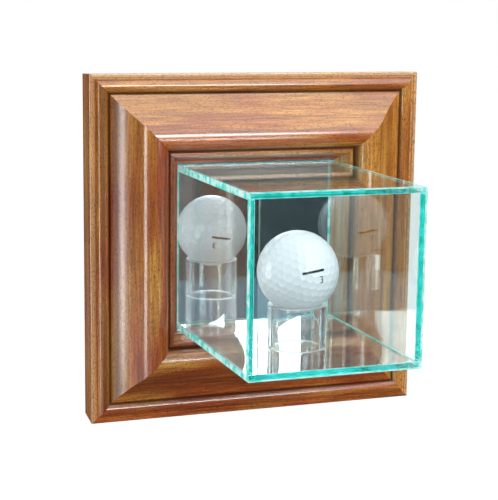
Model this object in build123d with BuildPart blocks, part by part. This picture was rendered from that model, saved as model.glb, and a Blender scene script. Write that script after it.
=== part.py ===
from build123d import *
import math
import os

os.makedirs("parts", exist_ok=True)

# Wall display case for one golf ball, in millimetres.
# +X is right seen from the front, +Y goes into the wall, +Z is up.
# The origin is the middle of the flat back. Everything in front of it has a negative Y.

# ---- square moulded frame ----
sight_opening = 93.8       # inner width and height, at the lip
rail_width = 49.1          # outer edge to sight edge
side_lean = 0.9            # the outer side is this much further in at the wall
edge_height = 19.6         # outer edge, out from the wall
edge_flat = 1.9            # flat top of the outer edge
edge_round = 0.7           # rounding of the outer arris
groove_width = 1.2         # groove between the edge and the bead
groove_depth = 0.9
bead_width = 7.3           # outer bead
bead_rise = 1.7            # bead crest above the edge
bead_skew = 0.8            # bead crest, this much nearer the outer edge than its middle
quirk_width = 0.9          # dark line inside the bead
quirk_depth = 1.3
fillet_width = 1.1         # narrow flat between the quirk and the cove
fillet_rise = 0.5
cove_sag = 0.9             # hollow of the wide rising cove
crest_height = 34.4        # top of the nose, out from the wall
nose_radius = 7.2          # inner flank of the nose
nose_flank_radius = 11.8   # outer flank, flatter
nose_lead = 40.0           # slope of the outer flank where the cove meets it, degrees
inner_quirk_width = 1.4    # groove between the nose and the shoulder
inner_quirk_depth = 1.0
shoulder_width = 2.0       # flat shoulder inside the nose
shoulder_drop = 7.0        # shoulder below the crest
shoulder_round = 0.35
fall_run = 2.9             # steep face from the shoulder to the lip
lip_flat = 1.6             # flat front of the lip at the sight edge
lip_thickness = 2.2        # wood in front of the mirror
lip_round = 0.4
lip_slope = 0.4
rabbet_width = 6.5         # rebate behind the lip

# ---- sheets in the rabbet ----
mirror_thickness = 3.2
filler_thickness = 10.0
backing_thickness = 3.2
sheet_clearance = 0.4      # between a sheet's edge and the rabbet wall

# ---- glass case ----
case_side_clearance = 0.5  # case to the lip, left and right
case_top_clearance = 0.9   # case to the lip, above and below
case_depth = 118.7         # mirror to the front face
glass_thickness = 3.2
bond_gap = 0.05            # adhesive line between panes
mirror_gap = 0.2           # open back edge of the case to the mirror

# ---- ball and its ring stand ----
ball_diameter = 42.67
ball_distance = 67.5       # mirror face to the middle of the ball
ball_shift = -1.75         # off the middle of the case, towards the left
stand_bore = 25.4
stand_wall = 2.8
stand_height = 22.8
stand_chamfer = 0.5
seat_gap = 0.25            # ball to the rim that carries it
floor_gap = 0.1            # stand to the glass floor

# ---- turn buttons and their screws ----
button_length = 26.0
button_root_radius = 5.5
button_tip_radius = 3.6
button_thickness = 1.2
button_setback = 8.5       # pivot, out from the rabbet wall
button_gap = 0.1
pivot_clearance = 0.08
screw_radius = 1.5
screw_depth = 12.0         # in the wood
screw_head_radius = 3.2
screw_head_height = 1.5
screw_head_round = 0.6
recess_length = 3.4
recess_width = 0.7
recess_depth = 0.7

# ---- hanger, nails and bumpers ----
hanger_length = 64.0
hanger_width = 9.5
hanger_sheet = 0.8
hanger_tab = 9.0           # flat end with the nail hole
hanger_joggle = 2.5        # length of the bend up to the raised middle
hanger_lift = 1.6
hanger_margin = 3.2        # from the frame's upper edge
tooth_pitch = 4.0
tooth_depth = 2.4
nail_radius = 0.8
nail_depth = 13.0
nail_head_radius = 2.1
nail_head_height = 0.5
bumper_radius = 5.0
bumper_height = 3.0
bumper_round = 1.0
bumper_margin = 12.0       # from the frame's outer edges to the bumper's middle

# ---- corner wedges in the mitres ----
wedge_leg = 5.0
wedge_sheet = 0.5
wedge_depth = 10.0
wedge_half_angle = 35.0
wedge_places = (12.0, 29.0)   # in from the outer edges


# ---- values that follow ----
sight_half = sight_opening / 2
half_frame = sight_half + rail_width
rabbet_half = sight_half + rabbet_width
rabbet_depth = mirror_thickness + filler_thickness + backing_thickness
sheet_side = 2 * (rabbet_half - sheet_clearance)
mirror_face = -rabbet_depth

case_width = sight_opening - 2 * case_side_clearance
case_height = sight_opening - 2 * case_top_clearance
case_back = mirror_face - mirror_gap
case_front = mirror_face - case_depth
pane_back_face = case_front + glass_thickness + bond_gap
pane_length = case_back - pane_back_face
side_pane_height = case_height - 2 * (glass_thickness + bond_gap)
floor_top = -case_height / 2 + glass_thickness

ball_radius = ball_diameter / 2
ball_y = mirror_face - ball_distance
stand_bottom = floor_top + floor_gap
stand_top = stand_bottom + stand_height
seat_radius = stand_bore / 2 + stand_chamfer
ball_z = stand_top + math.sqrt((ball_radius + seat_gap) ** 2 - seat_radius ** 2)

button_pivot = rabbet_half + button_setback
button_reach = button_length - button_root_radius
hanger_z = half_frame - hanger_margin - hanger_width / 2
nail_x = hanger_length / 2 - hanger_tab / 2
raised_half = hanger_length / 2 - hanger_tab - hanger_joggle
tooth_count = int(2 * raised_half / tooth_pitch) - 1

# each side's name, and how far round from the bottom side it is, in degrees
side_names = ("bottom", "right", "top", "left")
side_turn = 360 / len(side_names)
sides = [(name, place * side_turn) for place, name in enumerate(side_names)]
mitre_angle = side_turn / 2


def inward(angle):
    """Unit vector from a side of the frame towards its middle."""
    a = math.radians(angle)
    return Vector(-math.sin(a), 0, math.cos(a))


def along(angle):
    """Unit vector along a side of the frame."""
    a = math.radians(angle)
    return Vector(math.cos(a), 0, math.sin(a))


def save(builder, label):
    builder.part.label = label
    export_step(builder.part, f"parts/{label}.step")


# ---- fasteners first, because the wood is cut to them ----
def back_plane(x, z, depth=0.0):
    """Plane on the flat back at x, z, looking out of the back, its x axis along +X."""
    return Plane(origin=(x, depth, z), x_dir=(1, 0, 0), z_dir=(0, 1, 0))


wedge_reach = wedge_leg * math.cos(math.radians(wedge_half_angle))
wedge_spread = wedge_leg * math.sin(math.radians(wedge_half_angle))
with BuildPart() as corner_wedges:
    for name, angle in sides:
        out = along(angle + mitre_angle)
        for place in wedge_places:
            apex = out * (half_frame - place) / math.cos(math.radians(mitre_angle))
            with BuildSketch(Plane(origin=apex, x_dir=out, z_dir=(0, -1, 0))):
                with BuildLine():
                    Polyline((-wedge_reach, wedge_spread), (0, 0), (-wedge_reach, -wedge_spread))
                    offset(amount=wedge_sheet, side=Side.LEFT)
                make_face()
            extrude(amount=wedge_depth)
save(corner_wedges, "corner_wedges")

head_base = button_gap + button_thickness + button_gap
with BuildPart() as turn_button_screws:
    with BuildSketch(back_plane(0, 0, head_base)):
        with PolarLocations(button_pivot, len(sides)):
            Circle(screw_head_radius)
    extrude(amount=screw_head_height)
    head_rims = faces().sort_by(Axis.Y)[-len(sides):].edges()
    fillet(head_rims, screw_head_round)
    with BuildSketch(back_plane(0, 0, head_base + screw_head_height)):
        with PolarLocations(button_pivot, len(sides)):
            Rectangle(recess_length, recess_width)
            Rectangle(recess_width, recess_length)
    extrude(amount=-recess_depth, mode=Mode.SUBTRACT)
    with BuildSketch(back_plane(0, 0, head_base)):
        with PolarLocations(button_pivot, len(sides)):
            Circle(screw_radius)
    extrude(amount=-(screw_depth + head_base))
save(turn_button_screws, "turn_button_screws")

with BuildPart() as hanger_nails:
    for x in (-nail_x, nail_x):
        with BuildSketch(back_plane(x, hanger_z, hanger_sheet)):
            Circle(nail_head_radius)
        extrude(amount=nail_head_height)
        with BuildSketch(back_plane(x, hanger_z, hanger_sheet)):
            Circle(nail_radius)
        extrude(amount=-(nail_depth + hanger_sheet))
save(hanger_nails, "hanger_nails")


# ---- frame rails ----
# closed outline of the moulding: x in from the outer edge, y out from the wall
bead_start = edge_flat + groove_width
bead_end = bead_start + bead_width
bead_crest = (bead_start + bead_width / 2 - bead_skew, edge_height + bead_rise)
groove_floor = edge_height - groove_depth
cove_start = (bead_end + quirk_width + fillet_width, edge_height + fillet_rise)
lip_front = rabbet_depth + lip_thickness
fall_end = (rail_width - lip_flat, lip_front + lip_slope)
shoulder_height = crest_height - shoulder_drop
shoulder_end = (fall_end[0] - fall_run, shoulder_height)
shoulder_start = (shoulder_end[0] - shoulder_width, shoulder_height)
nose_end = shoulder_start[0] - inner_quirk_width
nose_middle = (nose_end - nose_radius, crest_height - nose_radius)
flank_middle = (nose_middle[0], crest_height - nose_flank_radius)
lead = math.radians(90 + nose_lead)
cove_end = (flank_middle[0] + nose_flank_radius * math.cos(lead),
            flank_middle[1] + nose_flank_radius * math.sin(lead))
inner_quirk = (nose_end + inner_quirk_width / 2, nose_middle[1] - inner_quirk_depth)
with BuildSketch() as rail_profile:
    with BuildLine():
        FilletPolyline((side_lean, 0), (0, edge_height), (edge_flat, edge_height),
                       radius=edge_round)
        Polyline((edge_flat, edge_height), (edge_flat + groove_width / 3, groove_floor),
                 (bead_start, groove_floor))
        ThreePointArc((bead_start, groove_floor), bead_crest,
                      (bead_end, edge_height - quirk_depth / 2))
        Polyline((bead_end, edge_height - quirk_depth / 2),
                 (bead_end + quirk_width / 2, edge_height - quirk_depth),
                 (bead_end + quirk_width, edge_height + fillet_rise / 2), cove_start)
        SagittaArc(cove_start, cove_end, -cove_sag)
        CenterArc(flank_middle, nose_flank_radius, 90 + nose_lead, -nose_lead)
        CenterArc(nose_middle, nose_radius, 90, -90)
        Line((nose_end, nose_middle[1]), inner_quirk)
        FilletPolyline(inner_quirk, shoulder_start, shoulder_end, fall_end,
                       radius=shoulder_round)
        FilletPolyline(fall_end, (rail_width, lip_front), (rail_width, rabbet_depth),
                       radius=lip_round)
        Polyline((rail_width, rabbet_depth), (rail_width - rabbet_width, rabbet_depth),
                 (rail_width - rabbet_width, 0), (side_lean, 0))
    make_face()

for name, angle in sides:
    edge_middle = inward(angle) * -half_frame
    with BuildPart() as rail:
        with BuildSketch(Plane(origin=edge_middle, x_dir=inward(angle), z_dir=along(angle))):
            add(rail_profile.sketch)
        extrude(amount=half_frame, both=True)
        for way in (1, -1):
            mitre = Plane(origin=(0, 0, 0), z_dir=along(angle) * way + inward(angle))
            split(bisect_by=mitre, keep=Keep.BOTTOM)
        add(corner_wedges.part, mode=Mode.SUBTRACT)
        add(turn_button_screws.part, mode=Mode.SUBTRACT)
        if name == "top":
            add(hanger_nails.part, mode=Mode.SUBTRACT)
    save(rail, f"rail_{name}")


# ---- sheets in the rabbet, from the lip back to the wall ----
sheet_front = mirror_face
for name, thickness in (("mirror", mirror_thickness), ("filler_board", filler_thickness),
                        ("backing_board", backing_thickness)):
    with BuildPart() as sheet:
        with BuildSketch(back_plane(0, 0, sheet_front)):
            Rectangle(sheet_side, sheet_side)
        extrude(amount=thickness)
    save(sheet, name)
    sheet_front += thickness

# ---- glass case: a box of five panes, open towards the mirror ----
with BuildPart() as glass_front:
    with BuildSketch(back_plane(0, 0, case_front)):
        Rectangle(case_width, case_height)
    extrude(amount=glass_thickness)
save(glass_front, "glass_front")

for name, way in (("glass_top", 1), ("glass_bottom", -1)):
    middle = way * (case_height - glass_thickness) / 2
    with BuildPart() as pane:
        with BuildSketch(back_plane(0, middle, pane_back_face)):
            Rectangle(case_width, glass_thickness)
        extrude(amount=pane_length)
    save(pane, name)

for name, way in (("glass_right", 1), ("glass_left", -1)):
    middle = way * (case_width - glass_thickness) / 2
    with BuildPart() as pane:
        with BuildSketch(back_plane(middle, 0, pane_back_face)):
            Rectangle(glass_thickness, side_pane_height)
        extrude(amount=pane_length)
    save(pane, name)

# ---- ring stand and ball ----
with BuildPart() as ball_stand:
    with BuildSketch(Plane(origin=(ball_shift, ball_y, stand_bottom))):
        Circle(stand_bore / 2 + stand_wall)
        Circle(stand_bore / 2, mode=Mode.SUBTRACT)
    extrude(amount=stand_height)
    chamfer(faces().sort_by(Axis.Z)[-1].edges(), stand_chamfer)
save(ball_stand, "ball_stand")

with BuildPart() as golf_ball:
    with Locations((ball_shift, ball_y, ball_z)):
        Sphere(ball_radius)
save(golf_ball, "golf_ball")

# ---- turn buttons over the backing board ----
for name, angle in sides:
    pivot = inward(angle) * -button_pivot
    tip = inward(angle) * (button_reach - button_tip_radius)
    with BuildPart() as turn_button:
        with BuildSketch(back_plane(pivot.X, pivot.Z, button_gap)) as plate:
            Circle(button_root_radius)
            with Locations((tip.X, -tip.Z)):
                Circle(button_tip_radius)
            make_hull()
            Circle(screw_radius + pivot_clearance, mode=Mode.SUBTRACT)
        extrude(amount=button_thickness)
    save(turn_button, f"turn_button_{name}")

# ---- sawtooth hanger on the top rail ----
with BuildPart() as sawtooth_hanger:
    with BuildSketch(Plane(origin=(0, 0, hanger_z - hanger_width / 2), x_dir=(1, 0, 0),
                           z_dir=(0, 0, 1))):
        with BuildLine():
            Polyline((-hanger_length / 2, 0), (hanger_tab - hanger_length / 2, 0),
                     (-raised_half, hanger_lift), (raised_half, hanger_lift),
                     (hanger_length / 2 - hanger_tab, 0), (hanger_length / 2, 0))
            offset(amount=hanger_sheet, side=Side.LEFT)
        make_face()
    extrude(amount=hanger_width)
    tooth_row = hanger_z - hanger_width / 2
    with BuildSketch(back_plane(0, tooth_row)):
        with GridLocations(tooth_pitch, 1, tooth_count, 1):
            Triangle(a=tooth_pitch, b=math.hypot(tooth_pitch / 2, tooth_depth),
                     c=math.hypot(tooth_pitch / 2, tooth_depth), align=(Align.CENTER, Align.MAX),
                     rotation=180)
    extrude(amount=hanger_lift + 2 * hanger_sheet, mode=Mode.SUBTRACT)
    add(hanger_nails.part, mode=Mode.SUBTRACT)
save(sawtooth_hanger, "sawtooth_hanger")

# ---- soft bumpers at the lower corners ----
bumper_at = half_frame - bumper_margin
with BuildPart() as wall_bumpers:
    for x in (-bumper_at, bumper_at):
        with BuildSketch(back_plane(x, -bumper_at)):
            Circle(bumper_radius)
        extrude(amount=bumper_height)
    fillet(faces().sort_by(Axis.Y)[-2:].edges(), bumper_round)
save(wall_bumpers, "wall_bumpers")
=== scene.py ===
import math

import bmesh
import bpy
from mathutils import Matrix, Vector
from mathutils.kdtree import KDTree


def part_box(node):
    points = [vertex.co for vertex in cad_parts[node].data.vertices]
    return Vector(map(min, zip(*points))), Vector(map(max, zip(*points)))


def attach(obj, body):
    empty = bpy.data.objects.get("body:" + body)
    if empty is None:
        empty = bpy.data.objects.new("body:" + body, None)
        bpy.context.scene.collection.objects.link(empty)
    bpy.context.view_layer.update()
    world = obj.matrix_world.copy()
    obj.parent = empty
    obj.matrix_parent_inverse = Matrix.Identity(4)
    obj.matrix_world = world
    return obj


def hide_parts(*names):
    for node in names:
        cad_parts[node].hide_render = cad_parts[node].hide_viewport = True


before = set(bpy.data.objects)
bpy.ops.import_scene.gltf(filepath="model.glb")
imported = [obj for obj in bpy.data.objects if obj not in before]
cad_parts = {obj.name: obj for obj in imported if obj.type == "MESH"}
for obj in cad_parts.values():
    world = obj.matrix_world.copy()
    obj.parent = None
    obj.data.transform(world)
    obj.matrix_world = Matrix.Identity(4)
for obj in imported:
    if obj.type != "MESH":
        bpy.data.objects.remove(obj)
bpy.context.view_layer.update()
scene = bpy.context.scene
millimetre = 0.001
print("frame loaded:", len(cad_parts), "nodes")


def hexColour(code):
    # sRGB hex to the linear colour that the shaders take
    parts = [int(code[i:i + 2], 16) / 255 for i in (1, 3, 5)]
    linear = [p / 12.92 if p <= 0.04045 else ((p + 0.055) / 1.055) ** 2.4 for p in parts]
    return (*linear, 1.0)


def addNode(tree, kind, inputs=None, out=0, stops=(), **settings):
    # adds a node with its settings and links, and gives back one of its outputs
    node = tree.nodes.new("ShaderNode" + kind)
    for name, value in settings.items():
        setattr(node, name, value)
    for key, value in (inputs or {}).items():
        if isinstance(value, bpy.types.NodeSocket):
            tree.links.new(value, node.inputs[key])
        else:
            node.inputs[key].default_value = value
    for number, (place, code) in enumerate(stops):
        elements = node.color_ramp.elements
        element = elements[number] if number < len(elements) else elements.new(place)
        element.position = place
        element.color = hexColour(code)
    return node.outputs[out] if len(node.outputs) else node


def newMaterial(name):
    material = bpy.data.materials.new(name)
    material.use_nodes = True
    material.node_tree.nodes.clear()
    return material, material.node_tree


def setMaterial(piece, material):
    piece.data.materials.clear()
    piece.data.materials.append(material)


def meshPiece(name, bm, body, node=None):
    mesh = bpy.data.meshes.new(name)
    bm.to_mesh(mesh)
    bm.free()
    piece = bpy.data.objects.new(name, mesh)
    scene.collection.objects.link(piece)
    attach(piece, body)
    if node:
        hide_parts(node)
    return piece


# Camera at the photograph's viewing angle
cameraSet = {
    "place": (-0.2696, -0.7549, 0.13665),
    "azimuth": 19.775,       # looks this far to the right of +Y
    "elevation": 10.119,     # and this far down
    "roll": 0.715,
    "lens": 102.3,
    "sensor": 36.0,
    "clip": (0.01, 50),
}


def buildCamera():
    a, e, r = (math.radians(cameraSet[k]) for k in ("azimuth", "elevation", "roll"))
    back = Vector((-math.sin(a) * math.cos(e), -math.cos(a) * math.cos(e), math.sin(e)))
    right = Vector((0, 0, 1)).cross(back).normalized()
    up = back.cross(right)
    rolledRight = right * math.cos(r) + up * math.sin(r)
    rolledUp = up * math.cos(r) - right * math.sin(r)
    data = bpy.data.cameras.new("photoCamera")
    data.lens = cameraSet["lens"]
    data.sensor_width = cameraSet["sensor"]
    data.sensor_fit = "HORIZONTAL"
    data.clip_start, data.clip_end = cameraSet["clip"]
    camera = bpy.data.objects.new("photoCamera", data)
    scene.collection.objects.link(camera)
    turn = Matrix((rolledRight, rolledUp, back)).transposed().to_4x4()
    camera.matrix_world = Matrix.Translation(cameraSet["place"]) @ turn
    scene.camera = camera


buildCamera()
print("camera placed")


# Walnut-stained wood, planed to a moulding and sprayed with satin lacquer:
# a warm brown with darker ribbons along the rail, short dark pores, a painted highlight that makes the
# outer arris paler, dark glazing in the quirks that also stands for painted shade in those creases, painted
# shade that makes the rails and flanks turned from the lamps redder and darker, and a soft coat of lacquer
# that gives long streaked highlights.
woodSet = {
    "golden": ((0.32, "#824913"), (0.5, "#BD7B2D"), (0.66, "#E6AC50")),
    # a redder, darker stain, laid most on the bottom and left rails and on the nose's inner flank, where it
    # partly stands for painted shade
    "russet": ((0.32, "#68240A"), (0.5, "#A64C1A"), (0.66, "#D07730")),
    "tone": (18.0, 70.0, 1.0, 0.5),      # mm across and along the grain, detail, roughness
    "ribbon": (7.0, 120.0, 2.0, 0.5),
    "streak": (1.1, 22.0, 4.0, 0.6),
    "pore": (0.42, 1.5, 2.0, 0.5),       # real ones are half as wide, too fine for the render to show
    "streakShare": 0.55,                 # against the ribbon
    "toneRange": (0.4, 0.6),
    "toneSpread": 0.4,                   # how far a rail's redness strays
    "inner": (32.5, 37.0),               # mm in where painted shade turns the nose's inner flank redder
    "arrisHighlight": (3.4, 2.6),                   # mm in, from the plain stain to the full painted highlight along the outer arris
    "arrisHighlightColour": "#E0B17C",
    "poreRange": (0.52, 0.66),
    "poreColour": "#42210F",
    "poreShare": 0.72,
    "poreDepth": 0.12,                   # mm
    "poreBump": 0.45,
    # dark glazing in the quirks, which also stands for painted shade in those creases
    "quirks": ((10.3, 1.7, 0.8), (41.4, 1.6, 0.9), (47.6, 0.9, 0.4)),  # mm in from the edge, reach, share
    "darkBands": ((7.2, 3.4, 0.65), (14.0, 7.0, 0.6)),  # and darker bands on one rail: painted shade on the bead flank that faces away from the lamps, and a darker cove
    "glazeAndShadeUneven": (1.2, 0.35),          # share that follows the streaks, and share that doesn't
    "glazeAndShadeColour": "#371B0F",
    "front": -0.3,                       # the normal's Y: less on faces that look forward,
    "back": 0.7,                         # and more on the back
    "rawColour": "#B58A5E",
    "rawShare": 0.55,
    "rawRougher": 0.35,
    "satin": 0.38,                       # roughness under the lacquer, and what the streaks add
    "satinSpread": 0.16,
    "gloss": {"Coat Roughness": 0.2, "Coat IOR": 1.75, "IOR": 1.45, "Specular IOR Level": 0.15},
}
quarter = math.pi / 2
sticks = {                   # turn and place of the grain, the stain's redness (partly painted shade on the rails turned from the lamps), the painted shade that reddens the nose's inner flank, the painted highlight on the outer arris, and the darker bands, partly painted shade
    "rail_top": {"turn": 0, "offset": (0.31, 0.02, 0.0), "redness": 0.2, "innerRedness": 0.6,
                 "arrisHighlight": 0.85, "darkBands": ()},
    "rail_bottom": {"turn": 0, "offset": (1.73, 0.11, 0.05), "redness": 0.9, "innerRedness": 0.0,
                    "arrisHighlight": 0.0, "darkBands": ()},
    "rail_left": {"turn": quarter, "offset": (0.47, 0.23, 0.4), "redness": 0.62, "innerRedness": 0.9,
                  "arrisHighlight": 0.4, "darkBands": woodSet["darkBands"]},
    "rail_right": {"turn": quarter, "offset": (2.09, 0.37, 0.9), "redness": -0.05, "innerRedness": 0.0,
                   "arrisHighlight": 0.6, "darkBands": ()},
}


def woodLayers(tree, grain):
    # noise drawn out along the rail
    layers = {}
    for layer in ("tone", "ribbon", "streak", "pore"):
        wide, long, detail, rough = woodSet[layer]
        scales = [1 / (reach * millimetre) for reach in (long, wide, wide)]
        scaled = addNode(tree, "VectorMath", {0: grain, 1: scales}, operation="MULTIPLY")
        layers[layer] = addNode(tree, "TexNoise", {"Vector": scaled, "Scale": 1.0, "Detail": detail,
                                                   "Roughness": rough})
    return layers


def inwardOnRail(tree, place):
    # how far in from the outer edge, in mm: the larger of X and Z on all four rails
    flat = addNode(tree, "VectorMath", {0: place}, operation="ABSOLUTE")
    along = addNode(tree, "SeparateXYZ", {0: flat}, out="X")
    across = addNode(tree, "SeparateXYZ", {0: flat}, out="Z")
    edge = addNode(tree, "Math", {0: along, 1: across}, operation="MAXIMUM")
    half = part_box("rail_right")[1].x / millimetre
    return addNode(tree, "Math", {0: edge, 1: -1 / millimetre, 2: half}, operation="MULTIPLY_ADD")


def stainWithPaintedLight(tree, layers, inward, backward, stick):
    # each stick takes the stain its own way, and unevenly; the redder, darker stain of the bottom and left
    # rails, which face away from the lamps, is partly painted shade
    blend = addNode(tree, "Mix", {"Factor": woodSet["streakShare"], 2: layers["ribbon"],
                                  3: layers["streak"]})
    golden = addNode(tree, "ValToRGB", {0: blend}, stops=woodSet["golden"])
    russet = addNode(tree, "ValToRGB", {0: blend}, stops=woodSet["russet"])
    least, most = woodSet["toneRange"]
    redder = addNode(tree, "MapRange", {"Value": layers["tone"], "From Min": least, "From Max": most,
                                        "To Min": stick["redness"] - woodSet["toneSpread"],
                                        "To Max": stick["redness"] + woodSet["toneSpread"]})
    # painted shade: the nose's inner flank, which faces away from the lamps, is made redder
    start, end = woodSet["inner"]
    inner = addNode(tree, "MapRange", {"Value": inward, "From Min": start, "From Max": end,
                                       "To Max": stick["innerRedness"]})
    redder = addNode(tree, "Math", {0: redder, 1: inner}, operation="ADD", use_clamp=True)
    stainShadeAndHighlight = addNode(tree, "Mix", {0: redder, 6: golden, 7: russet}, out=2, data_type="RGBA")
    # painted highlight: the outer arris is made paler on faces that look forward, most on the top rail and
    # not at all on the bottom
    inFront = addNode(tree, "Math", {0: backward, 1: woodSet["front"]}, operation="LESS_THAN")
    start, end = woodSet["arrisHighlight"]
    outer = addNode(tree, "MapRange", {"Value": inward, "From Min": start, "From Max": end,
                                       "To Max": stick["arrisHighlight"]})
    arrisLit = addNode(tree, "Math", {0: inFront, 1: outer}, operation="MULTIPLY")
    return addNode(tree, "Mix", {0: arrisLit, 6: stainShadeAndHighlight, 7: hexColour(woodSet["arrisHighlightColour"])}, out=2,
                   data_type="RGBA")


def glazeAndShadeBands(tree, colour, layers, inward, bands):
    # darkens around each band's middle: glazing in the quirks that also stands for painted shade in those
    # creases, and on one rail bands partly of painted shade
    glazeAndShade = 0.0
    for middle, reach, share in bands:
        away = addNode(tree, "Math", {0: inward, 1: middle}, operation="SUBTRACT")
        away = addNode(tree, "Math", {0: away}, operation="ABSOLUTE")
        near = addNode(tree, "MapRange", {"Value": away, "From Min": reach, "From Max": 0.0,
                                          "To Max": share})
        glazeAndShade = addNode(tree, "Math", {0: near, 1: glazeAndShade}, operation="MAXIMUM")
    streaked, even = woodSet["glazeAndShadeUneven"]
    uneven = addNode(tree, "Math", {0: layers["streak"], 1: streaked, 2: even}, operation="MULTIPLY_ADD")
    glazeAndShadeShare = addNode(tree, "Math", {0: glazeAndShade, 1: uneven}, operation="MULTIPLY", use_clamp=True)
    return addNode(tree, "Mix", {0: glazeAndShadeShare, 6: colour, 7: hexColour(woodSet["glazeAndShadeColour"])}, out=2,
                   data_type="RGBA")


def walnutStainedWood(name, stick):
    material, tree = newMaterial(name)
    place = addNode(tree, "TexCoord", out="Object")
    grain = addNode(tree, "Mapping", {"Vector": place, "Rotation": (0, stick["turn"], 0),
                                      "Location": stick["offset"]})
    facing = addNode(tree, "NewGeometry", out="Normal")
    backward = addNode(tree, "SeparateXYZ", {0: facing}, out="Y")
    layers = woodLayers(tree, grain)
    inward = inwardOnRail(tree, place)
    stainShadeAndHighlight = stainWithPaintedLight(tree, layers, inward, backward, stick)
    least, most = woodSet["poreRange"]
    pores = addNode(tree, "MapRange", {"Value": layers["pore"], "From Min": least, "From Max": most})
    poreShare = addNode(tree, "Math", {0: pores, 1: woodSet["poreShare"]}, operation="MULTIPLY")
    porous = addNode(tree, "Mix", {0: poreShare, 6: stainShadeAndHighlight, 7: hexColour(woodSet["poreColour"])}, out=2,
                     data_type="RGBA")
    glazedAndShaded = glazeAndShadeBands(tree, porous, layers, inward, woodSet["quirks"] + stick["darkBands"])
    # the back is sawn and left bare, so it has no lacquer
    bare = addNode(tree, "Math", {0: backward, 1: woodSet["back"]}, operation="GREATER_THAN")
    sawn = addNode(tree, "Mix", {0: woodSet["rawShare"], 6: porous, 7: hexColour(woodSet["rawColour"])},
                   out=2, data_type="RGBA")
    colour = addNode(tree, "Mix", {0: bare, 6: glazedAndShaded, 7: sawn}, out=2, data_type="RGBA")
    height = addNode(tree, "Math", {0: pores, 1: -1.0, 2: layers["streak"]}, operation="MULTIPLY_ADD")
    bump = addNode(tree, "Bump", {"Height": height, "Strength": woodSet["poreBump"],
                                  "Distance": woodSet["poreDepth"] * millimetre})
    satin = addNode(tree, "Math", {0: layers["streak"], 1: woodSet["satinSpread"], 2: woodSet["satin"]},
                    operation="MULTIPLY_ADD")
    roughness = addNode(tree, "Math", {0: bare, 1: woodSet["rawRougher"], 2: satin},
                        operation="MULTIPLY_ADD")
    lacquer = addNode(tree, "Math", {0: 1.0, 1: bare}, operation="SUBTRACT")
    surface = addNode(tree, "BsdfPrincipled", {"Base Color": colour, "Roughness": roughness, "Normal": bump,
                                               "Coat Weight": lacquer, **woodSet["gloss"]})
    addNode(tree, "OutputMaterial", {"Surface": surface})
    return material


def dressRails():
    for rail, stick in sticks.items():
        setMaterial(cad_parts[rail], walnutStainedWood("walnutStainedLacquered_" + rail, stick))


dressRails()
print("rails dressed")


# Clear float glass with seamed edges: the faces are polished and nearly colourless, and the iron
# in the glass turns light teal where it runs far through a pane, so the edges glow green-blue.
glassSet = {
    "bevel": 0.3,                        # mm, the seam ground along each edge
    "tint": (0.0, 0.915, 0.9),
    "density": 20.0,                     # per metre: takes 90% of the red light over 115 mm
    "frost": 0.6,                        # roughness of a ground edge, times the noise of its chips
    "scatter": 0.8,                      # share of the light that a ground edge scatters,
    "outward": 0.4,                      # and how much of that stays outside
    "edge": ((0.34, "#56E6D6"), (0.64, "#F0FFFD")),
    "chipSize": 5.0,                     # mm, patches left by grinding
    "shade": (0.982, 0.989, 0.992, 1),   # lamp light left after each face
    "gloss": {"IOR": 1.52, "Transmission Weight": 1.0},
}
panes = {                    # the sides of each pane that are ground
    "glass_front": ("left", "right", "top", "bottom"),
    "glass_top": ("left", "right", "back"),
    "glass_bottom": ("left", "right", "back"),
    "glass_left": ("back",),
    "glass_right": ("back",),
}
directions = {"left": Vector((-1, 0, 0)), "right": Vector((1, 0, 0)), "back": Vector((0, 1, 0)),
              "top": Vector((0, 0, 1)), "bottom": Vector((0, 0, -1))}
straight = 0.99              # cosine within which a face counts as square to an axis


def lampsPass(tree, surface, tint):
    # lets lamps and soft light through, which clear glass would otherwise stop like a wall
    shadow = addNode(tree, "LightPath", out="Is Shadow Ray")
    diffuse = addNode(tree, "LightPath", out="Is Diffuse Ray")
    passing = addNode(tree, "Math", {0: shadow, 1: diffuse}, operation="MAXIMUM")
    clear = addNode(tree, "BsdfTransparent", {"Color": tint})
    return addNode(tree, "MixShader", {0: passing, 1: surface, 2: clear})


def floatGlass():
    material, tree = newMaterial("clearFloatGlassSeamed")
    place = addNode(tree, "TexCoord", out="Object")
    ground = addNode(tree, "Attribute", out="Fac", attribute_name="ground")
    chips = addNode(tree, "TexNoise", {"Vector": place, "Scale": 1 / (glassSet["chipSize"] * millimetre),
                                       "Detail": 2.0, "Roughness": 0.5})
    edgeColour = addNode(tree, "ValToRGB", {0: chips}, stops=glassSet["edge"])
    colour = addNode(tree, "Mix", {0: ground, 6: (1, 1, 1, 1), 7: edgeColour}, out=2, data_type="RGBA")
    frost = addNode(tree, "Math", {0: chips, 1: glassSet["frost"]}, operation="MULTIPLY")
    roughness = addNode(tree, "Math", {0: ground, 1: frost}, operation="MULTIPLY")
    polished = addNode(tree, "BsdfPrincipled", {"Base Color": colour, "Roughness": roughness,
                                                **glassSet["gloss"]})
    # the ground faces scatter some of the light that falls on them into the pane
    inward = addNode(tree, "BsdfTranslucent", {"Color": edgeColour})
    outward = addNode(tree, "BsdfDiffuse", {"Color": edgeColour})
    scatter = addNode(tree, "MixShader", {0: glassSet["outward"], 1: inward, 2: outward})
    scattered = addNode(tree, "Math", {0: ground, 1: glassSet["scatter"]}, operation="MULTIPLY")
    surface = addNode(tree, "MixShader", {0: scattered, 1: polished, 2: scatter})
    depth = addNode(tree, "VolumeAbsorption", {"Color": (*glassSet["tint"], 1),
                                               "Density": glassSet["density"]})
    addNode(tree, "OutputMaterial", {"Surface": lampsPass(tree, surface, glassSet["shade"]),
                                     "Volume": depth})
    return material


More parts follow.
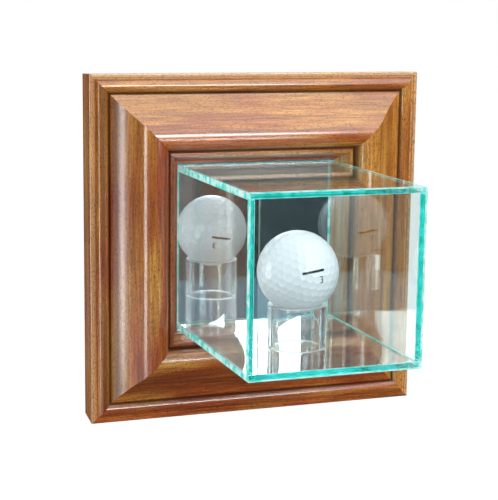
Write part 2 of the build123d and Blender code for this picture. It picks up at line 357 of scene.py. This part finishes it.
def buildPane(node, groundSides, material):
    low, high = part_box(node)
    bm = bmesh.new()
    bmesh.ops.create_cube(bm, size=1.0)
    bmesh.ops.scale(bm, vec=high - low, verts=bm.verts)
    bmesh.ops.translate(bm, vec=(low + high) / 2, verts=bm.verts)
    bmesh.ops.bevel(bm, geom=bm.edges, offset=glassSet["bevel"] * millimetre, segments=1,
                    affect="EDGES", profile=0.5, material=-1)
    ground = bm.faces.layers.float.new("ground")
    for face in bm.faces:
        square = max(abs(c) for c in face.normal) > straight
        onSide = any(face.normal.dot(directions[side]) > straight for side in groundSides)
        face[ground] = 1.0 if onSide or not square else 0.0
    piece = meshPiece(node + "_pane", bm, "glass_case", node)
    setMaterial(piece, material)


def buildCase():
    material = floatGlass()
    for node, groundSides in panes.items():
        buildPane(node, groundSides, material)


buildCase()
print("glass case built")


# Silvered mirror: float glass with silver behind it, so it is bright, faintly green, and almost
# perfectly smooth but for a little haze from handling.
mirrorSet = {
    "silver": "#F5FBFE",
    "hazeSize": 30.0,                    # mm
    "hazeRange": (0.45, 0.75),
    "haze": 0.03,
}


def silveredMirror():
    material, tree = newMaterial("silveredMirror")
    place = addNode(tree, "TexCoord", out="Object")
    haze = addNode(tree, "TexNoise", {"Vector": place, "Scale": 1 / (mirrorSet["hazeSize"] * millimetre),
                                      "Detail": 4.0})
    least, most = mirrorSet["hazeRange"]
    roughness = addNode(tree, "MapRange", {"Value": haze, "From Min": least, "From Max": most,
                                           "To Max": mirrorSet["haze"]})
    surface = addNode(tree, "BsdfPrincipled", {"Base Color": hexColour(mirrorSet["silver"]),
                                               "Metallic": 1.0, "Roughness": roughness})
    addNode(tree, "OutputMaterial", {"Surface": surface})
    return material


setMaterial(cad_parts["mirror"], silveredMirror())
print("mirror silvered")


# Ring cut from cast acrylic tube: clear, glossy walls, and sawn ends that are sanded satin
# and catch the light as pale rings.
standSet = {
    "wall": 2.8,             # mm
    "chamfer": 0.5,
    "round": 0.125,          # broken edges at top and foot
    "rimAngle": 30.0,        # degrees between two faces whose edge is broken,
    "sharpAngle": 8.0,       # and between two that aren't shaded as one
    "sawnSlope": 0.3,        # the normal's Z past which a face belongs to a sawn end
    "steps": 96,
    "clear": "#FBFDFD",
    "gloss": {"IOR": 1.49, "Transmission Weight": 1.0},
    "satin": 0.38,                       # roughness of a sawn end, and what its marks add
    "satinSpread": 0.2,
    "sawMarks": 0.6,                     # mm
    "scuffSize": 2.5,                    # mm
    "scuffRange": (0.35, 0.65),
    "scuffs": (0.01, 0.055),             # share of the light that the scuffed walls scatter
    "scuffColour": "#F4F8F9",
    "shade": (0.96, 0.965, 0.965, 1),    # lamp light left after each wall
}


def castAcrylic():
    material, tree = newMaterial("clearCastAcrylicTube")
    place = addNode(tree, "TexCoord", out="Object")
    sawn = addNode(tree, "Attribute", out="Fac", attribute_name="sawn")
    marks = addNode(tree, "TexNoise", {"Vector": place, "Scale": 1 / (standSet["sawMarks"] * millimetre)})
    satin = addNode(tree, "Math", {0: marks, 1: standSet["satinSpread"], 2: standSet["satin"]},
                    operation="MULTIPLY_ADD")
    roughness = addNode(tree, "Math", {0: sawn, 1: satin}, operation="MULTIPLY")
    clear = addNode(tree, "BsdfPrincipled", {"Base Color": hexColour(standSet["clear"]),
                                             "Roughness": roughness, **standSet["gloss"]})
    wear = addNode(tree, "TexNoise", {"Vector": place, "Scale": 1 / (standSet["scuffSize"] * millimetre),
                                      "Detail": 4.0})
    start, end = standSet["scuffRange"]
    least, most = standSet["scuffs"]
    scuffed = addNode(tree, "MapRange", {"Value": wear, "From Min": start, "From Max": end,
                                         "To Min": least, "To Max": most})
    haze = addNode(tree, "BsdfDiffuse", {"Color": hexColour(standSet["scuffColour"])})
    surface = addNode(tree, "MixShader", {0: scuffed, 1: clear, 2: haze})
    addNode(tree, "OutputMaterial", {"Surface": lampsPass(tree, surface, standSet["shade"])})
    return material


def buildStand():
    low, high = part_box("ball_stand")
    middle = (low + high) / 2
    outer = (high.x - low.x) / 2
    wall = standSet["wall"] * millimetre
    chamfer = standSet["chamfer"] * millimetre
    bm = bmesh.new()
    outline = ((outer - wall, low.z), (outer, low.z), (outer, high.z - chamfer), (outer - chamfer, high.z),
               (outer - wall + chamfer, high.z), (outer - wall, high.z - chamfer))
    ring = [bm.verts.new((middle.x + reach, middle.y, z)) for reach, z in outline]
    edges = [bm.edges.new((ring[i - 1], ring[i])) for i in range(len(ring))]
    bmesh.ops.spin(bm, geom=ring + edges, cent=middle, axis=(0, 0, 1), dvec=(0, 0, 0),
                   angle=math.tau, steps=standSet["steps"], use_merge=True)
    bmesh.ops.recalc_face_normals(bm, faces=bm.faces)
    rimAngle = math.radians(standSet["rimAngle"])
    rims = [e for e in bm.edges if e.calc_face_angle(0) > rimAngle]
    bmesh.ops.bevel(bm, geom=rims, offset=standSet["round"] * millimetre, segments=2,
                    affect="EDGES", profile=0.5, material=-1)
    sawn = bm.faces.layers.float.new("sawn")
    for face in bm.faces:
        face.smooth = True
        face[sawn] = 1.0 if abs(face.normal.z) > standSet["sawnSlope"] else 0.0
    piece = meshPiece("ball_stand_ring", bm, "stand", "ball_stand")
    piece.data.set_sharp_from_angle(angle=math.radians(standSet["sharpAngle"]))
    setMaterial(piece, castAcrylic())


buildStand()
print("ring stand spun")


# Golf ball: a moulded and painted white cover with 362 shallow round dimples, glossy,
# with a plain line and play number printed on two opposite sides.
ballSet = {
    "dimplesPerEdge": 6,     # gives 10 * 6 * 6 + 2 dimples
    "dimpleRadius": 1.82,    # mm
    "dimpleDepth": 0.24,
    "dimpleWall": 2.2,       # a higher one gives a steeper wall and a flatter floor
    "dimpleRim": 0.35,       # a lower one gives a crisper rim
    "cover": ((0.3, "#ECEFF1"), (0.7, "#F2F4F5")),
    "gloss": {"Roughness": 0.32, "IOR": 1.5, "Coat Weight": 0.6, "Coat Roughness": 0.12},
    "peelSize": 0.9,         # mm
    "peelDepth": 0.02,
    "peelBump": 0.08,
    "ink": ((0.35, "#14171F"), (0.7, "#23283A")),
    "inkGrain": 0.3,         # mm
    "inkRoughness": 0.35,
    "turn": (0.35, 0.2, 0.9),  # radians about X, Y and Z
    "finerCuts": 12,
}
prints = {                   # degrees: azimuth, elevations of line and number, the number's step aside
    "front": {"azimuth": 1.0, "line": 9.5, "number": -2.5, "aside": 12.3},
    "back": {"azimuth": 181.5, "line": -4.0, "number": -16.5, "aside": 12.5},
}
printSet = {                 # mm
    "lineLength": 12.4,
    "lineWidth": 1.3,
    "lineCuts": (60, 6),     # fine enough to follow the dimples
    "number": "3",
    "numberHeight": 3.8,
    "numberCuts": 4,
    "curveSteps": 6,
    "proud": 0.09,
    "tilt": 8.0,             # degrees
}
ballLow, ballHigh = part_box("golf_ball")
ballMiddle = (ballLow + ballHigh) / 2
ballRadius = (ballHigh.z - ballLow.z) / 2


def geodesic(cuts):
    # ball of radius 1, from an icosahedron with this many cuts in each edge
    bm = bmesh.new()
    bmesh.ops.create_icosphere(bm, subdivisions=1, radius=1.0)
    bmesh.ops.subdivide_edges(bm, edges=bm.edges, cuts=cuts, use_grid_fill=True)
    for vert in bm.verts:
        vert.co.normalize()
    x, y, z = (Matrix.Rotation(angle, 3, axis) for angle, axis in zip(ballSet["turn"], "XYZ"))
    bmesh.ops.rotate(bm, verts=bm.verts, matrix=x @ y @ z)
    return bm


def dimplePlaces():
    bm = geodesic(ballSet["dimplesPerEdge"] - 1)
    places = KDTree(len(bm.verts))
    for index, vert in enumerate(bm.verts):
        places.insert(vert.co, index)
    places.balance()
    print("dimples:", len(bm.verts))
    bm.free()
    return places


def coverRadius(direction, places):
    # distance of the cover from the middle of the ball in this direction
    _, _, away = places.find(direction)
    inside = away * ballRadius / (ballSet["dimpleRadius"] * millimetre)
    hollow = max(0.0, 1 - inside ** 2)
    sunk = min(1.0, hollow * ballSet["dimpleWall"]) * hollow ** ballSet["dimpleRim"]
    return ballRadius - ballSet["dimpleDepth"] * millimetre * sunk


def ballCover():
    # moulded ionomer under clear paint: white and glossy, with a trace of orange peel
    material, tree = newMaterial("paintedIonomerCover")
    place = addNode(tree, "TexCoord", out="Object")
    peel = addNode(tree, "TexNoise", {"Vector": place, "Scale": 1 / (ballSet["peelSize"] * millimetre),
                                      "Detail": 2.0})
    bump = addNode(tree, "Bump", {"Height": peel, "Strength": ballSet["peelBump"],
                                  "Distance": ballSet["peelDepth"] * millimetre})
    shade = addNode(tree, "ValToRGB", {0: peel}, stops=ballSet["cover"])
    surface = addNode(tree, "BsdfPrincipled", {"Base Color": shade, "Normal": bump, **ballSet["gloss"]})
    addNode(tree, "OutputMaterial", {"Surface": surface})
    return material


def padPrintInk():
    # pad-printed ink under the clear paint: near black, even and slightly glossy
    material, tree = newMaterial("padPrintedInk")
    place = addNode(tree, "TexCoord", out="Object")
    grain = addNode(tree, "TexNoise", {"Vector": place, "Scale": 1 / (ballSet["inkGrain"] * millimetre)})
    shade = addNode(tree, "ValToRGB", {0: grain}, stops=ballSet["ink"])
    surface = addNode(tree, "BsdfPrincipled", {"Base Color": shade, "Roughness": ballSet["inkRoughness"]})
    addNode(tree, "OutputMaterial", {"Surface": surface})
    return material


def buildBall(places):
    bm = geodesic(ballSet["dimplesPerEdge"] * ballSet["finerCuts"] - 1)
    for vert in bm.verts:
        vert.co = ballMiddle + vert.co * coverRadius(vert.co, places)
    for face in bm.faces:
        face.smooth = True
    bmesh.ops.recalc_face_normals(bm, faces=bm.faces)
    piece = meshPiece("golf_ball_cover", bm, "ball", "golf_ball")
    setMaterial(piece, ballCover())
    print("ball faces:", len(piece.data.polygons))


def onBall(azimuth, elevation):
    a, e = math.radians(azimuth), math.radians(elevation)
    return Vector((math.sin(a) * math.cos(e), -math.cos(a) * math.cos(e), math.sin(e)))


def wrapOnBall(bm, azimuth, elevation, tilt, places):
    # lays a flat shape, drawn in X and Y, on the cover at that place
    out = onBall(azimuth, elevation)
    right = Vector((0, 0, 1)).cross(out).normalized()
    up = out.cross(right)
    lean = Matrix.Rotation(math.radians(tilt), 3, "Z")
    for vert in bm.verts:
        flat = lean @ vert.co
        direction = (out * ballRadius + right * flat.x + up * flat.y).normalized()
        proud = coverRadius(direction, places) + printSet["proud"] * millimetre
        vert.co = ballMiddle + direction * proud


def numberMesh():
    data = bpy.data.curves.new("number", "FONT")
    data.body = printSet["number"]
    data.align_x = "CENTER"
    data.align_y = "CENTER"
    data.resolution_u = printSet["curveSteps"]
    text = bpy.data.objects.new("number", data)
    scene.collection.objects.link(text)
    mesh = bpy.data.meshes.new_from_object(text.evaluated_get(bpy.context.evaluated_depsgraph_get()))
    bm = bmesh.new()
    bm.from_mesh(mesh)
    bpy.data.objects.remove(text)
    bpy.data.meshes.remove(mesh)
    tall = max(v.co.y for v in bm.verts) - min(v.co.y for v in bm.verts)
    size = printSet["numberHeight"] * millimetre / tall
    bmesh.ops.scale(bm, vec=(size, size, size), verts=bm.verts)
    return bm


def lineMesh():
    bm = bmesh.new()
    halfLength, halfWidth = (printSet[size] * millimetre / 2 for size in ("lineLength", "lineWidth"))
    along, across = printSet["lineCuts"]
    bmesh.ops.create_grid(bm, x_segments=along, y_segments=across, size=1.0)
    bmesh.ops.scale(bm, vec=(halfLength, halfWidth, 1), verts=bm.verts)
    return bm


def buildPrints(places):
    ink = padPrintInk()
    for side, spot in prints.items():
        line = lineMesh()
        wrapOnBall(line, spot["azimuth"], spot["line"], printSet["tilt"], places)
        linePiece = meshPiece("ball_line_" + side, line, "ball")
        setMaterial(linePiece, ink)
        number = numberMesh()
        bmesh.ops.triangulate(number, faces=number.faces)
        bmesh.ops.subdivide_edges(number, edges=number.edges, cuts=printSet["numberCuts"],
                                  use_grid_fill=True)
        wrapOnBall(number, spot["azimuth"] + spot["aside"], spot["number"], printSet["tilt"], places)
        numberPiece = meshPiece("ball_number_" + side, number, "ball")
        setMaterial(numberPiece, ink)


dimples = dimplePlaces()
buildBall(dimples)
buildPrints(dimples)
print("ball built")


# The back: what holds the sheets in and the frame to the wall
backSet = {                  # grain and relief in mm, shades from low to high, worn adds to the roughness
    "zinc": {"grain": 1.5, "shades": ((0.3, "#A9ADB0"), (0.7, "#CFD2D2")),
             "roughness": 0.18, "worn": 0.28},
    "brass": {"grain": 4.0, "shades": ((0.3, "#A8823A"), (0.65, "#D9B768")),
              "roughness": 0.18, "worn": 0.28},
    "hardboard": {"grain": 1.2, "shades": ((0.35, "#573A22"), (0.52, "#76532F"), (0.7, "#9A7548")),
                  "roughness": 0.78, "bump": 0.3, "relief": 0.1},
    "paper": {"grain": 0.8, "shades": ((0.0, "#DCDAD2"), (0.6, "#F2F1EC")),
              "roughness": 0.85, "bump": 0.3, "relief": 0.05},
    "rubber": {"grain": 0.5, "shades": ((0.3, "#242424"), (0.7, "#363636")),
               "roughness": 0.7, "bump": 0.3, "relief": 0.05},
}


def backGrain(tree, finish):
    place = addNode(tree, "TexCoord", out="Object")
    grain = addNode(tree, "TexNoise", {"Vector": place, "Scale": 1 / (finish["grain"] * millimetre),
                                       "Detail": 5.0, "Roughness": 0.65})
    return grain, addNode(tree, "ValToRGB", {0: grain}, stops=finish["shades"])


def platedSteel(name, finish):
    # stamped, then plated: zinc is dull silver with a faint spangle,
    # brass is a yellow wash with worn patches
    material, tree = newMaterial(name)
    grain, shade = backGrain(tree, finish)
    roughness = addNode(tree, "Math", {0: grain, 1: finish["worn"], 2: finish["roughness"]},
                        operation="MULTIPLY_ADD")
    surface = addNode(tree, "BsdfPrincipled", {"Base Color": shade, "Metallic": 1.0,
                                               "Roughness": roughness})
    addNode(tree, "OutputMaterial", {"Surface": surface})
    return material


def matteSheet(name, finish):
    # hardboard is pressed brown fibre, foam board has off-white paper faces,
    # rubber has a fine moulded tooth
    material, tree = newMaterial(name)
    grain, shade = backGrain(tree, finish)
    bump = addNode(tree, "Bump", {"Height": grain, "Strength": finish["bump"],
                                  "Distance": finish["relief"] * millimetre})
    surface = addNode(tree, "BsdfPrincipled", {"Base Color": shade, "Normal": bump,
                                               "Roughness": finish["roughness"]})
    addNode(tree, "OutputMaterial", {"Surface": surface})
    return material


def dressBack():
    zinc = platedSteel("zincPlatedSteel", backSet["zinc"])
    brass = platedSteel("brassPlatedSteel", backSet["brass"])
    for side in ("top", "bottom", "left", "right"):
        setMaterial(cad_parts["turn_button_" + side], zinc)
    setMaterial(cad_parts["turn_button_screws"], zinc)
    setMaterial(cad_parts["corner_wedges"], zinc)
    setMaterial(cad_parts["sawtooth_hanger"], brass)
    setMaterial(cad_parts["hanger_nails"], brass)
    setMaterial(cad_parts["backing_board"], matteSheet("pressedHardboard", backSet["hardboard"]))
    setMaterial(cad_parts["filler_board"], matteSheet("paperFacedFoamBoard", backSet["paper"]))
    setMaterial(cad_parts["wall_bumpers"], matteSheet("mouldedRubber", backSet["rubber"]))


dressBack()
print("back dressed")


# Studio: a pale floor, a white surround, soft lamps, and a dark room that only mirror and gloss see
studioSet = {
    "floorHeight": -0.36,
    "floorReach": 12.0,
    "floor": "#9A9A9A",
    "floorGlow": 0.9,        # share of the white background in the floor as seen
    "floorBright": 1.12,
    "ambient": (0.26, 0.7),  # soft light from behind, and from the front
    "ambientColour": "#EEF4FF",
    "room": 1.6,             # half the width of the dark room
    "roomFront": -1.15,
    "roomTop": 1.5,
    "roomFoot": 0.002,       # above the floor
    "roomStep": -0.262,      # where the front wall turns blue-grey
    "behindEnd": -0.1,       # where the wall behind ends on the right
    "groundEnd": -0.47,      # and where the ground ends on the left
    "roomColour": "#242C2F",
    "stepColour": "#5D83A0",
    "strip": (0.019, 0.055, -0.506, -0.26),  # width, height, X and Z of the bright strip
    "stripGap": 0.01,        # between the strip and the front wall
    "stripColour": "#FFFFFF",
    "stripBright": 4.0,
    "reflections": (1.5, 1.1),  # middle and spread: the room shows in the first two only
    "bounces": 40,
    "glossyBounces": 24,
}
lamps = {                    # place, aimed at, width, height, watts
    "softboxTop": ((0.42, -0.42, 1.12), (0, -0.05, 0), 1.12, 1.12, 8.6),
    "softboxHigh": ((0.4, -1.05, 0.72), (0, -0.05, 0.05), 0.7, 0.5, 2.3),
    "softboxBehind": ((0.0, 0.6, 1.0), (0, -0.05, 0), 1.2, 0.7, 3.0),
    "softboxSide": ((-1.15, 0.45, 0.05), (0, -0.05, 0), 0.4, 0.7, 7.0),
    "softboxLeft": ((-0.96, -0.67, -0.2), (0, -0.05, 0), 0.055, 0.75, 2.5),
    "softboxRight": ((0.29, -1.13, 0.327), (0.29, -0.05, 0.2), 0.44, 0.19, 5.6),
    "softboxSmall": ((-0.553, -1.14, 0.281), (0, -0.05, 0), 0.075, 0.09, 0.08),
}


def seenDirectly(tree):
    # 1 for rays from the camera, off mirror and gloss, and through glass
    seen = addNode(tree, "LightPath", out="Is Camera Ray")
    for kind in ("Is Glossy Ray", "Is Transmission Ray"):
        ray = addNode(tree, "LightPath", out=kind)
        seen = addNode(tree, "Math", {0: seen, 1: ray}, operation="MAXIMUM")
    return seen


def buildWorld():
    world = bpy.data.worlds.new("whiteStudio")
    world.use_nodes = True
    scene.world = world
    tree = world.node_tree
    tree.nodes.clear()
    towards = addNode(tree, "TexCoord", out="Generated")
    depth = addNode(tree, "SeparateXYZ", {0: towards}, out="Y")
    behind, inFront = studioSet["ambient"]
    ambient = addNode(tree, "MapRange", {"Value": depth, "From Min": 1.0, "From Max": -1.0,
                                         "To Min": behind, "To Max": inFront})
    seen = seenDirectly(tree)
    strength = addNode(tree, "Mix", {"Factor": seen, 2: ambient, 3: 1.0})
    tint = addNode(tree, "Mix", {0: seen, 6: hexColour(studioSet["ambientColour"]), 7: (1, 1, 1, 1)},
                   out=2, data_type="RGBA")
    sky = addNode(tree, "Background", {"Color": tint, "Strength": strength})
    addNode(tree, "OutputWorld", {"Surface": sky})


def stagePlane(name, material, size, turn, swing, middle):
    bm = bmesh.new()
    bmesh.ops.create_grid(bm, x_segments=1, y_segments=1, size=0.5)
    bmesh.ops.scale(bm, vec=(*size, 1), verts=bm.verts)
    bmesh.ops.rotate(bm, matrix=Matrix.Rotation(swing, 3, "Z") @ Matrix.Rotation(turn, 3, "X"),
                     verts=bm.verts)
    bmesh.ops.translate(bm, vec=middle, verts=bm.verts)
    mesh = bpy.data.meshes.new(name)
    bm.to_mesh(mesh)
    bm.free()
    mesh.materials.append(material)
    plane = bpy.data.objects.new(name, mesh)
    scene.collection.objects.link(plane)
    return plane


def buildFloor():
    material, tree = newMaterial("palePaintedFloor")
    matte = addNode(tree, "BsdfDiffuse", {"Color": hexColour(studioSet["floor"])})
    glow = addNode(tree, "Emission", {"Strength": studioSet["floorBright"]})
    share = addNode(tree, "Math", {0: seenDirectly(tree), 1: studioSet["floorGlow"]}, operation="MULTIPLY")
    mixed = addNode(tree, "MixShader", {0: share, 1: matte, 2: glow})
    addNode(tree, "OutputMaterial", {"Surface": mixed})
    stagePlane("studioFloor", material, (studioSet["floorReach"],) * 2, 0, 0,
               (0, 0, studioSet["floorHeight"]))


def reflectedGlow(name, colour, strength):
    # shows only in a reflection, and never to light on its way to a matte surface
    material, tree = newMaterial(name)
    glow = addNode(tree, "Emission", {"Color": hexColour(studioSet[colour]), "Strength": strength})
    middle, spread = studioSet["reflections"]
    mirrored = addNode(tree, "LightPath", out="Glossy Depth")
    mirrored = addNode(tree, "Math", {0: mirrored, 1: middle, 2: spread}, operation="COMPARE")
    unscattered = addNode(tree, "LightPath", out="Diffuse Depth")
    unscattered = addNode(tree, "Math", {0: unscattered, 1: 0.5}, operation="LESS_THAN")
    shown = addNode(tree, "Math", {0: mirrored, 1: unscattered}, operation="MULTIPLY")
    wall = addNode(tree, "MixShader", {0: shown, 1: addNode(tree, "BsdfTransparent"), 2: glow})
    addNode(tree, "OutputMaterial", {"Surface": wall})
    return material


def buildRoom():
    room, front, top = studioSet["room"], studioSet["roomFront"], studioSet["roomTop"]
    low, step = studioSet["floorHeight"] + studioSet["roomFoot"], studioSet["roomStep"]
    behindEnd, groundEnd = studioSet["behindEnd"], studioSet["groundEnd"]
    deep, high = room - front, top - low
    middleY, middleZ = (front + room) / 2, (top + low) / 2
    stripWidth, stripHeight, stripX, stripZ = studioSet["strip"]
    stripY = front + studioSet["stripGap"]
    walls = {                # width and height, turn about X and Z, middle, colour, strength
        "wallFront": ((2 * room, top - step), quarter, 0, (0, front, (top + step) / 2),
                      "roomColour", 1),
        "wallStep": ((2 * room, step - low), quarter, 0, (0, front, (low + step) / 2),
                     "stepColour", 1),
        "wallLeft": ((deep, high), quarter, quarter, (-room, middleY, middleZ), "roomColour", 1),
        "wallRight": ((deep, high), quarter, quarter, (room, middleY, middleZ), "roomColour", 1),
        "wallBehind": ((room, high), quarter, 0, (behindEnd - room / 2, room, middleZ),
                       "roomColour", 1),
        "ceiling": ((2 * room, deep), 0, 0, (0, middleY, top), "roomColour", 1),
        "ground": ((room - groundEnd, deep), 0, 0, ((room + groundEnd) / 2, middleY, low),
                   "roomColour", 1),
        "strip": ((stripWidth, stripHeight), quarter, 0, (stripX, stripY, stripZ),
                  "stripColour", studioSet["stripBright"]),
    }
    for name, (size, turn, swing, middle, colour, strength) in walls.items():
        material = reflectedGlow(name, colour, strength)
        plane = stagePlane(name, material, size, turn, swing, middle)
        plane.visible_camera = False
        plane.visible_diffuse = False
        plane.visible_shadow = False


def buildLamps():
    for name, (place, aim, width, height, watts) in lamps.items():
        data = bpy.data.lights.new(name, "AREA")
        data.shape = "RECTANGLE"
        data.size = width
        data.size_y = height
        data.energy = watts
        lamp = bpy.data.objects.new(name, data)
        scene.collection.objects.link(lamp)
        lamp.location = place
        towards = Vector(aim) - Vector(place)
        lamp.rotation_euler = towards.to_track_quat("-Z", "Y").to_euler()


buildWorld()
buildFloor()
buildRoom()
buildLamps()
scene.view_settings.view_transform = "Standard"
scene.cycles.max_bounces = studioSet["bounces"]
scene.cycles.glossy_bounces = studioSet["glossyBounces"]
scene.cycles.transmission_bounces = studioSet["bounces"]
scene.cycles.transparent_max_bounces = studioSet["bounces"]
scene.cycles.caustics_reflective = True
scene.cycles.caustics_refractive = True
print("studio lit")
